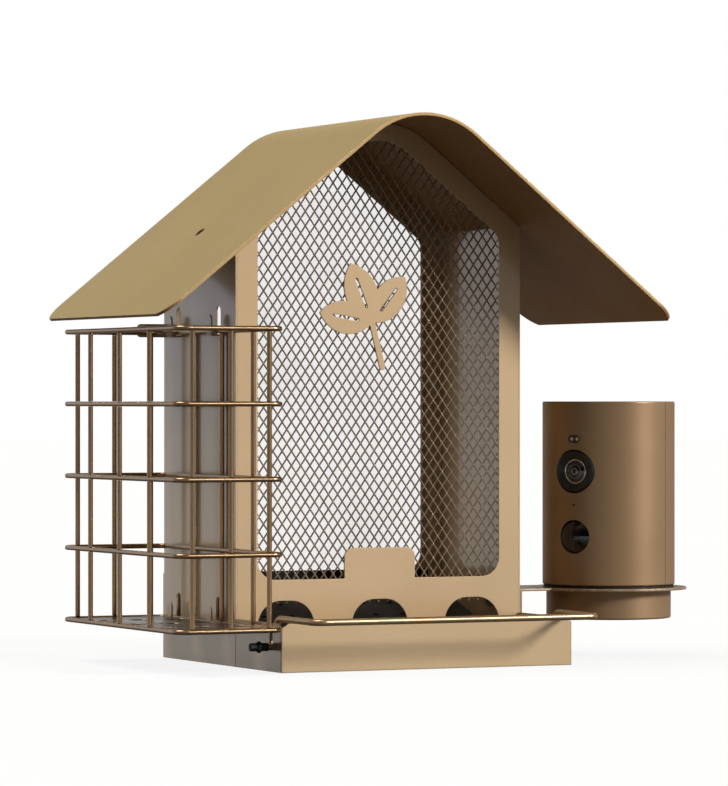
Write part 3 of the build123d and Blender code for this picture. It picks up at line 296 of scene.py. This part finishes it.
# Finishes. A coat is its tone, its shade, how metallic and how rough it is, and the radius in metres to
# which its edges look rounded
gold = (0.50, 0.345, 0.185)
gold_shade = (0.465, 0.318, 0.168)
bronze = (0.345, 0.225, 0.13)
bronze_shade = (0.315, 0.203, 0.115)
roof_gold = (0.475, 0.345, 0.148)
roof_shade = (0.45, 0.325, 0.136)
# Painted shade multiplied into the roof's downward faces
roof_underside_painted_shade = (0.82, 0.6, 0.5)
wire_tone = (0.38, 0.245, 0.135)
wire_shade = (0.32, 0.205, 0.11)
perch_tone = (0.46, 0.32, 0.19)
perch_shade = (0.42, 0.29, 0.17)
# Painted shadow: the cage floor plate is given a near-black tone for the shade it lies in
plate_tone_in_painted_shadow = (0.1, 0.065, 0.038)
plate_mottle_in_painted_shadow = (0.08, 0.05, 0.03)
mesh_tone = (0.17, 0.12, 0.075)
mesh_shade = (0.14, 0.098, 0.06)
# Painted highlight: the bright rim of the camera shelf
shelf_painted_rim_highlight = (1.0, 0.92, 0.8)
# Painted highlight: the bright cream line along the roof's front edge
roof_painted_edge_highlight = (1.0, 0.9, 0.72)
# Painted glint: bright rims of the cage floor's holes
plate_painted_hole_glint = (1.0, 0.85, 0.6)
# Painted highlight: bright ridges of the mesh strands
mesh_painted_ridge_highlight = (1.0, 0.82, 0.62)
# Painted shade: the dark line along the tray's bends and bottom edge
tray_painted_edge_shade = (0.06, 0.04, 0.022)
camera_grazing = (0.3, 0.2, 0.14)
house_coat = (gold, gold_shade, 0.3, 0.45)
roof_coat = (roof_gold, roof_shade, 0.3, 0.45, 0.0006)
shelf_coat = (bronze, bronze_shade, 0.6, 0.4, 0.0009)
wire_coat = (wire_tone, wire_shade, 1.0, 0.25, 0.0001)
perch_coat = (perch_tone, perch_shade, 0.9, 0.33, 0.0001)
shadowed_plate_coat = (plate_tone_in_painted_shadow, plate_mottle_in_painted_shadow, 0.8, 0.3, 0.0006)
camera_coat = (bronze, bronze_shade, 0.45, 0.4, 0.0003)
mesh_coat = (mesh_tone, mesh_shade, 0.6, 0.38, 0.00014)
sheet_finish = coated_metal("sheet_finish", *house_coat, 0.0005, lacquer=0.9)
# Tray: painted shade line along its edges
tray_finish = coated_metal("tray_finish", *house_coat, 0.0009, lacquer=0.9, painted_edge_tone=tray_painted_edge_shade)
# Roof: painted highlight on its edges and painted shade on its downward faces
roof_finish = coated_metal("roof_finish", *roof_coat, grain=0.5, painted_edge_tone=roof_painted_edge_highlight, underside_painted_shade=roof_underside_painted_shade)
# Shelf: painted highlight along its rim
shelf_finish = coated_metal("shelf_finish", *shelf_coat, painted_edge_tone=shelf_painted_rim_highlight)
wire_finish = coated_metal("wire_finish", *wire_coat)
perch_finish = coated_metal("perch_finish", *perch_coat)
# Cage floor: painted shadow in its dark tone and painted glints on its hole rims
plate_glint_and_shadow_finish = coated_metal("plate_glint_and_shadow_finish", *shadowed_plate_coat, painted_edge_tone=plate_painted_hole_glint)
camera_finish = coated_metal("camera_finish", *camera_coat, grazing=camera_grazing)
# Window mesh: painted highlight on its strand ridges
mesh_finish = coated_metal("mesh_finish", *mesh_coat, painted_edge_tone=mesh_painted_ridge_highlight)
black_plastic = moulded("black_plastic", (0.012, 0.011, 0.011), 0.38)
lens_black = moulded("lens_black", (0.008, 0.008, 0.009), 0.25, 1400.0, 0.00001)
smoked_window = moulded("smoked_window", (0.06, 0.04, 0.028), 0.15, 300.0, 0.000004)
ramp_coat = moulded("ramp_coat", (0.016, 0.012, 0.01), 0.6, 900.0, 0.00003, 0.2)
bright_ring = turned_metal("bright_ring", (0.92, 0.9, 0.87), 0.25)
gloss_black = moulded("gloss_black", (0.006, 0.006, 0.008), 0.08, 200.0, 0.000004, 0.6)
black_rubber = moulded("black_rubber", (0.014, 0.013, 0.013), 0.6, 1200.0, 0.00004, 0.35)
plain_steel = turned_metal("plain_steel", (0.5, 0.47, 0.43), 0.35)
clear_finish = clear_sheet("clear_finish", (0.86, 0.76, 0.66), 0.07, 0.05)
lens_finish = coated_lens("lens_finish", (0.01, 0.01, 0.02), (0.06, 0.03, 0.12))
board_finish = circuit_board("board_finish")
battery_finish = moulded("battery_finish", (0.05, 0.17, 0.33), 0.3, 90.0, 0.00002)
diode_finish = moulded("diode_finish", (0.8, 0.77, 0.66), 0.2, 900.0, 0.00001)

paint(sheet_finish, "left_wall", "right_wall", "front_panel", "back_panel", "base_pan")
paint(sheet_finish, "ornament_plate", "back_skirt")
paint(tray_finish, "seed_tray")
paint(shelf_finish, "camera_shelf")
paint(roof_finish, "roof_panel", "roof_guide_front", "roof_guide_rear")
cage_nodes = [f"cage_ring_{index}" for index in range(1, 6)]
cage_nodes += [f"cage_uprights_{side}" for side in ("front", "back", "outer", "inner")]
paint(wire_finish, *cage_nodes)
paint(perch_finish, "perch_wire")
paint(plate_glint_and_shadow_finish, "cage_floor")
paint(camera_finish, "camera_front_shell", "camera_rear_shell", "camera_top_cap", "camera_base_cup")
paint(mesh_finish, "window_mesh")
paint(plain_steel, "house_rivets", "shelf_screws", "shelf_nuts", "swivel_screw", "camera_screws")
paint(plain_steel, "motion_sensor", "charging_socket", "antenna")
paint(clear_finish, "rear_window")
paint(black_plastic, "camera_floor", "lens_bezel", "battery_holder", "microphone", "speaker", "power_button")
paint(black_plastic, "perch_stop_nut")
paint(lens_black, "lens_barrel")
paint(gloss_black, "motion_dome")
paint(smoked_window, "light_window")
paint(ramp_coat, "seed_ramp")
paint(black_rubber, "perch_end_sleeves", "shelf_washer", "shell_seals", "port_cover")
paint(lens_finish, "lens_glass")
paint(board_finish, "image_sensor_board", "main_board")
paint(battery_finish, "battery_cells")
paint(diode_finish, "infrared_diodes")

# Smooth shading on round faces, sharp sheet edges kept
sharpest_bend = math.radians(32.0)
for node in nodes.values():
    node.data.shade_smooth()
    node.data.set_sharp_from_angle(angle=sharpest_bend)


def add_piece(name, mesh, body, material, *replaced):
    piece = bpy.data.objects.new(name, mesh)
    bpy.context.scene.collection.objects.link(piece)
    mesh.materials.append(material)
    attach(piece, body)
    if replaced:
        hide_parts(*replaced)
    return piece


# Diamond mesh at its real pitch
mesh_pitch_x = 4.9 * MM
mesh_pitch_z = 7.0 * MM
mesh_strand = 0.77 * MM
mesh_margin = 1.0 * MM
mesh_chamfer_share = 0.3
mesh_merge = 0.01 * MM
gable_slope = math.tan(math.radians(38.7))
gable_round = 12.0 * MM


def gable_limit(x, ridge):
    """Height of the mesh's upper edge at x: a level middle under the ridge, then two straight slopes."""
    return ridge - max(0.0, abs(x) - gable_round) * gable_slope


def make_window_mesh():
    """Diamond cells side by side, each a frame with a ridge round it that falls towards its hole."""
    low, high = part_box("window_mesh")
    chamfer = (high.y - low.y) * mesh_chamfer_share
    built = bmesh.new()
    columns = int(high.x / mesh_pitch_x) + 2
    rows = int((high.z - low.z) / mesh_pitch_z * 2) + 2
    half_x, half_z = mesh_pitch_x / 2, mesh_pitch_z / 2
    cell_side = math.hypot(mesh_pitch_x, mesh_pitch_z) / 2
    inner_x = half_x - mesh_strand * cell_side / mesh_pitch_z
    inner_z = half_z - mesh_strand * cell_side / mesh_pitch_x
    for row in range(rows):
        z = low.z + row * mesh_pitch_z / 2 + mesh_pitch_z / 2
        shift = (row % 2) * mesh_pitch_x / 2
        for column in range(-columns, columns + 1):
            x = column * mesh_pitch_x + shift
            if abs(x) + half_x > high.x or z + half_z > gable_limit(x, high.z) - mesh_margin:
                continue
            corners = [(x - half_x, z), (x, z - half_z), (x + half_x, z), (x, z + half_z)]
            holes = [(x - inner_x, z), (x, z - inner_z), (x + inner_x, z), (x, z + inner_z)]
            ridge_front = [built.verts.new((px, low.y, pz)) for px, pz in corners]
            ridge_back = [built.verts.new((px, high.y, pz)) for px, pz in corners]
            hole_front = [built.verts.new((px, low.y + chamfer, pz)) for px, pz in holes]
            hole_back = [built.verts.new((px, high.y - chamfer, pz)) for px, pz in holes]
            for i in range(len(corners)):
                j = (i + 1) % len(corners)
                built.faces.new((ridge_front[i], ridge_front[j], hole_front[j], hole_front[i]))
                built.faces.new((ridge_back[j], ridge_back[i], hole_back[i], hole_back[j]))
                built.faces.new((hole_front[i], hole_front[j], hole_back[j], hole_back[i]))
    bmesh.ops.remove_doubles(built, verts=built.verts, dist=mesh_merge)
    bmesh.ops.recalc_face_normals(built, faces=built.faces)
    mesh = bpy.data.meshes.new("window_mesh_fine")
    built.to_mesh(mesh)
    built.free()
    piece = add_piece("window_mesh_fine", mesh, "house", mesh_finish, "window_mesh")


make_window_mesh()


# Front element of the lens and its rings, set in the bezel's mouth
lens_turn = math.radians(-59.9)
lens_axis = Vector((math.sin(lens_turn), -math.cos(lens_turn), 0.0))
lens_across = Vector((-lens_axis.y, lens_axis.x, 0.0))
lens_seat = 1.8 * MM
lens_half = 6.35 * MM
lens_bulge = 1.1 * MM
lens_sphere = (lens_half ** 2 + lens_bulge ** 2) / (2 * lens_bulge)
lens_sides = 72
lens_steps = 14
lens_merge = 0.001 * MM
ring_sides = 10

# Each ring's name, its radius and its wire's radius in millimetres
lens_rings = [("lens_rim_ring", 5.75, 0.27), ("lens_inner_ring", 3.4, 0.06), ("lens_pupil_ring", 1.5, 0.13)]


def lens_rise(radius):
    """How far the front element stands over its seat at a radius."""
    return math.sqrt(lens_sphere ** 2 - radius ** 2) - lens_sphere + lens_bulge


def lens_piece(name, outline, material, closed):
    """A round piece about the lens axis from its outline, as radius and height over the seat."""
    low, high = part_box("lens_glass")
    seat = (low + high) / 2 + lens_axis * lens_seat
    built = bmesh.new()
    loops = []
    for step in range(lens_sides):
        angle = 2 * math.pi * step / lens_sides
        outward = lens_across * math.cos(angle) + Vector((0.0, 0.0, math.sin(angle)))
        points = [seat + outward * radius + lens_axis * height for radius, height in outline]
        loops.append([built.verts.new(point) for point in points])
    count = len(outline) if closed else len(outline) - 1
    for step in range(lens_sides):
        here, there = loops[step], loops[(step + 1) % lens_sides]
        for part in range(count):
            beside = (part + 1) % len(outline)
            built.faces.new((here[part], there[part], there[beside], here[beside]))
    bmesh.ops.remove_doubles(built, verts=built.verts, dist=lens_merge)
    bmesh.ops.recalc_face_normals(built, faces=built.faces)
    mesh = bpy.data.meshes.new(name)
    built.to_mesh(mesh)
    built.free()
    mesh.shade_smooth()
    add_piece(name, mesh, "camera_head", material)


front_radii = [lens_half * step / lens_steps for step in range(lens_steps + 1)]
front_outline = [(radius, lens_rise(radius)) for radius in front_radii]
lens_piece("lens_front_element", front_outline, lens_finish, False)
for ring_name, ring_radius, ring_wire in lens_rings:
    middle = ring_radius * MM
    wire = ring_wire * MM
    leans = [2 * math.pi * part / ring_sides for part in range(ring_sides)]
    ring_outline = [
        (middle + wire * math.cos(lean), lens_rise(middle) + wire * math.sin(lean)) for lean in leans
    ]
    lens_piece(ring_name, ring_outline, bright_ring, True)


# Floor
white = (1.0, 1.0, 1.0, 1.0)
floor_half = 12.0
floor_drop = 0.2 * MM
floor_grey = (0.09, 0.09, 0.09)
floor_pale_grey = (0.1, 0.1, 0.1)
floor_glow = 0.87
floor_sheen_power = 6.0


def brightest(tree, *values):
    """The largest of several node outputs."""
    result = values[0]
    for value in values[1:]:
        larger = tree.nodes.new("ShaderNodeMath")
        larger.operation = "MAXIMUM"
        tree.links.new(result, larger.inputs[0])
        tree.links.new(value, larger.inputs[1])
        result = larger.outputs["Value"]
    return result


def make_floor():
    """A pale floor: white to the camera, with little light thrown back up at the object."""
    built = bmesh.new()
    bmesh.ops.create_grid(built, x_segments=1, y_segments=1, size=floor_half)
    mesh = bpy.data.meshes.new("floor")
    built.to_mesh(mesh)
    built.free()
    floor = bpy.data.objects.new("floor", mesh)
    floor.location.z = -floor_drop
    bpy.context.scene.collection.objects.link(floor)
    graph = Graph("floor_finish")
    graph.shader.inputs["Roughness"].default_value = 0.9
    graph.shader.inputs["Specular IOR Level"].default_value = 0.0
    tint = graph.mix(graph.spread(graph.noise(3.0), 0.0, 1.0), floor_grey, floor_pale_grey)
    graph.link(tint, graph.shader.inputs["Base Color"])
    path = graph.node("ShaderNodeLightPath").outputs
    grazing = graph.node("ShaderNodeLayerWeight")
    grazing.inputs["Blend"].default_value = 0.5
    sheen = graph.node("ShaderNodeMath", operation="POWER")
    sheen.inputs[1].default_value = floor_sheen_power
    graph.link(grazing.outputs["Facing"], sheen.inputs[0])
    mirrored = graph.node("ShaderNodeMath", operation="MULTIPLY")
    graph.link(path["Is Glossy Ray"], mirrored.inputs[0])
    graph.link(sheen.outputs["Value"], mirrored.inputs[1])
    straight = (path["Is Camera Ray"], path["Is Transmission Ray"])
    seen = brightest(graph.tree, *straight, mirrored.outputs["Value"])
    glow = graph.node("ShaderNodeMath", operation="MULTIPLY")
    glow.inputs[1].default_value = floor_glow
    graph.link(seen, glow.inputs[0])
    graph.shader.inputs["Emission Color"].default_value = white
    graph.link(glow.outputs["Value"], graph.shader.inputs["Emission Strength"])
    mesh.materials.append(graph.material)


make_floor()

# World
toward_camera = Vector((-math.sin(view_yaw), -math.cos(view_yaw), 0.0))
toward_left = Vector((-math.cos(view_yaw), math.sin(view_yaw), 0.0))

# Walls of the studio, by bearing in degrees from the front, left positive: a soft box on the right, a
# black flag on the left, a cool grey wall behind on the left
studio_walls = [
    (-180, (0.17, 0.17, 0.17)),
    (-140, (0.2, 0.19, 0.17)),
    (-105, (0.26, 0.25, 0.23)),
    (-60, (0.3, 0.29, 0.28)),
    (-15, (0.11, 0.107, 0.1)),
    (20, (0.015, 0.014, 0.013)),
    (55, (0.003, 0.003, 0.003)),
    (88, (0.03, 0.03, 0.04)),
    (106, (0.53, 0.575, 0.655)),
    (150, (0.49, 0.535, 0.615)),
    (180, (0.17, 0.17, 0.17)),
]
studio_ceiling = (0.29, 0.265, 0.2)
studio_strength = 1.3

# Height of a direction at which the walls begin and end to turn into the ceiling
ceiling_start = 0.2
ceiling_end = 0.6

# How squarely a reflection has to look away from the camera to show the white backdrop
backdrop_start = 0.94
backdrop_end = 1.02


def make_world():
    """White to the camera; for everything else a studio with soft walls and a pale ceiling."""
    world = bpy.data.worlds.new("studio")
    bpy.context.scene.world = world
    world.use_nodes = True
    tree = world.node_tree
    tree.nodes.clear()
    output = tree.nodes.new("ShaderNodeOutputWorld")
    paper = tree.nodes.new("ShaderNodeBackground")
    paper.inputs["Color"].default_value = white
    room = tree.nodes.new("ShaderNodeBackground")
    mixer = tree.nodes.new("ShaderNodeMixShader")
    path = tree.nodes.new("ShaderNodeLightPath").outputs
    coords = tree.nodes.new("ShaderNodeTexCoord").outputs["Generated"]

    def along(direction):
        dot = tree.nodes.new("ShaderNodeVectorMath")
        dot.operation = "DOT_PRODUCT"
        dot.inputs[1].default_value = direction
        tree.links.new(coords, dot.inputs[0])
        return dot.outputs["Value"]

    def remap(value, start, end):
        made = tree.nodes.new("ShaderNodeMapRange")
        made.interpolation_type = "SMOOTHSTEP"
        made.inputs["From Min"].default_value = start
        made.inputs["From Max"].default_value = end
        tree.links.new(value, made.inputs["Value"])
        return made.outputs["Result"]

    def product(first, second):
        made = tree.nodes.new("ShaderNodeMath")
        made.operation = "MULTIPLY"
        tree.links.new(first, made.inputs[0])
        tree.links.new(second, made.inputs[1])
        return made.outputs["Value"]

    bearing = tree.nodes.new("ShaderNodeMath")
    bearing.operation = "ARCTAN2"
    tree.links.new(along(toward_left), bearing.inputs[0])
    tree.links.new(along(toward_camera), bearing.inputs[1])
    turn = tree.nodes.new("ShaderNodeMapRange")
    turn.inputs["From Min"].default_value = -math.pi
    turn.inputs["From Max"].default_value = math.pi
    tree.links.new(bearing.outputs["Value"], turn.inputs["Value"])
    ramp = tree.nodes.new("ShaderNodeValToRGB")
    tree.links.new(turn.outputs["Result"], ramp.inputs["Fac"])
    while len(ramp.color_ramp.elements) < len(studio_walls):
        ramp.color_ramp.elements.new(0.5)
    for element, (degrees, tone) in zip(ramp.color_ramp.elements, studio_walls):
        element.position = degrees / 360.0 + 0.5
        element.color = (*tone, 1.0)
    up = along(Vector((0.0, 0.0, 1.0)))
    ceiling = tree.nodes.new("ShaderNodeMix")
    ceiling.data_type = "RGBA"
    tree.links.new(remap(up, ceiling_start, ceiling_end), ceiling.inputs["Factor"])
    first_colour, second_colour, mixed_colour = ceiling.inputs[6], ceiling.inputs[7], ceiling.outputs[2]
    tree.links.new(ramp.outputs["Color"], first_colour)
    second_colour.default_value = (*studio_ceiling, 1.0)
    tree.links.new(mixed_colour, room.inputs["Color"])
    room.inputs["Strength"].default_value = studio_strength

    behind = remap(along(-toward_camera), backdrop_start, backdrop_end)
    backdrop = product(path["Is Glossy Ray"], behind)
    direct = brightest(tree, path["Is Camera Ray"], path["Is Transmission Ray"], backdrop)
    tree.links.new(direct, mixer.inputs["Fac"])
    tree.links.new(room.outputs["Background"], mixer.inputs[1])
    tree.links.new(paper.outputs["Background"], mixer.inputs[2])
    tree.links.new(mixer.outputs["Shader"], output.inputs["Surface"])


make_world()

# Lamps
key_direction = Vector((0.591, -0.718, 0.368)).normalized()
key_strength = 3.0
key_width = 12.0
top_direction = Vector((-0.35, 0.1, 0.93))
top_strength = 2.1
top_width = 40.0


def make_sun(name, direction, strength, width):
    data = bpy.data.lights.new(name, "SUN")
    data.energy = strength
    data.angle = math.radians(width)
    lamp = bpy.data.objects.new(name, data)
    lamp.rotation_mode = "QUATERNION"
    lamp.rotation_quaternion = direction.normalized().to_track_quat("Z", "Y")
    bpy.context.scene.collection.objects.link(lamp)


make_sun("key_lamp", key_direction, key_strength, key_width)
make_sun("top_lamp", top_direction, top_strength, top_width)

bpy.context.scene.view_settings.view_transform = "Standard"
